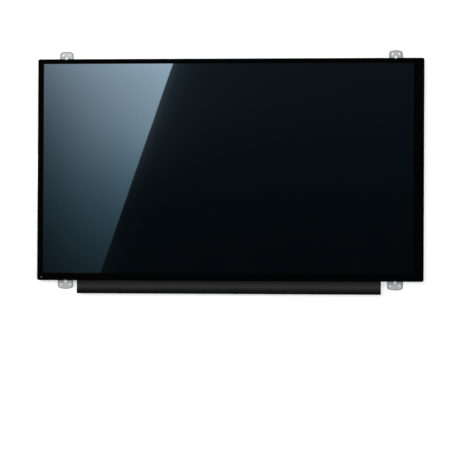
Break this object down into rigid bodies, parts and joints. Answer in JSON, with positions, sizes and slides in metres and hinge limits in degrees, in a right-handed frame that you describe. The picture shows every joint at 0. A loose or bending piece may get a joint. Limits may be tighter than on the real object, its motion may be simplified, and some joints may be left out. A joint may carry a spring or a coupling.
{
  "type": "laptop screen panel",
  "caption": "Slim edge-lit laptop display module: dark glossy screen over a backlight in a steel rear frame, with screw ears and a taped driver board strip along the bottom.",
  "frame": {"origin": "centre of the overall outline, at the rearmost plane", "axes": "+Z out of the display side, +Y towards the top edge, +X to the right seen from the front"},
  "size_m": [0.3594, 0.2246, 0.0036],
  "materials": {
    "galvanised_steel": "galvanised sheet",
    "reflector_film": "white pearl film",
    "acrylic": "clear moulded",
    "diffuser_film": "frosted",
    "prism_film": "fine prisms",
    "white_moulding": "moulded",
    "cell_tape": "adhesive tape",
    "cell_glass": "polished",
    "polariser": "glossy",
    "rear_polariser": "glossy",
    "silver_paste": "cured paste",
    "silicon": "polished",
    "polyimide": "film",
    "flex_laminate": "white cover film",
    "diode_case": "moulded",
    "board_laminate": "green solder mask",
    "socket_moulding": "moulded",
    "light_socket_moulding": "moulded",
    "gold_contact": "plated",
    "tinned_shell": "tin plate",
    "chip_moulding": "moulded",
    "ferrite": "fired",
    "capacitor_ceramic": "fired",
    "resistor_ceramic": "glazed",
    "black_tape": "polyester tape",
    "black_film": "satin polyester film",
    "white_tape": "polyester tape",
    "label_paper": "coated paper"
  },
  "bodies": {
    "root": {"rear_frame": "galvanised_steel", "reflector": "reflector_film", "light_guide": "acrylic", "strip_tape": "white_tape", "light_strip": "flex_laminate", "diodes": "diode_case", "lower_diffuser": "diffuser_film", "lower_prism_sheet": "prism_film", "upper_prism_sheet": "prism_film", "upper_diffuser": "diffuser_film", "support_frame": "white_moulding", "cell_tape": "cell_tape", "rear_polariser": "rear_polariser", "array_glass": "cell_glass", "filter_glass": "cell_glass", "front_polariser": "polariser", "silver_dot": "silver_paste", "gate_driver_1": "silicon", "gate_driver_2": "silicon", "gate_driver_3": "silicon", "source_film_1": "polyimide", "source_film_2": "polyimide", "source_film_3": "polyimide", "source_film_4": "polyimide", "source_driver_1": "silicon", "source_driver_2": "silicon", "source_driver_3": "silicon", "source_driver_4": "silicon", "driver_board": "board_laminate", "signal_socket": "socket_moulding", "signal_contacts": "gold_contact", "signal_shell": "tinned_shell", "light_socket": "light_socket_moulding", "light_contacts": "gold_contact", "timing_controller": "chip_moulding", "memory_chip": "chip_moulding", "power_chip": "chip_moulding", "light_driver": "chip_moulding", "power_inductor": "ferrite", "light_inductor": "ferrite", "capacitors": "capacitor_ceramic", "resistors": "resistor_ceramic", "bezel_tape": "black_tape", "board_film": "black_film", "board_tape_left": "black_tape", "board_tape_right": "black_tape", "side_tab": "white_tape", "label": "label_paper"}
  },
  "joints": []
}
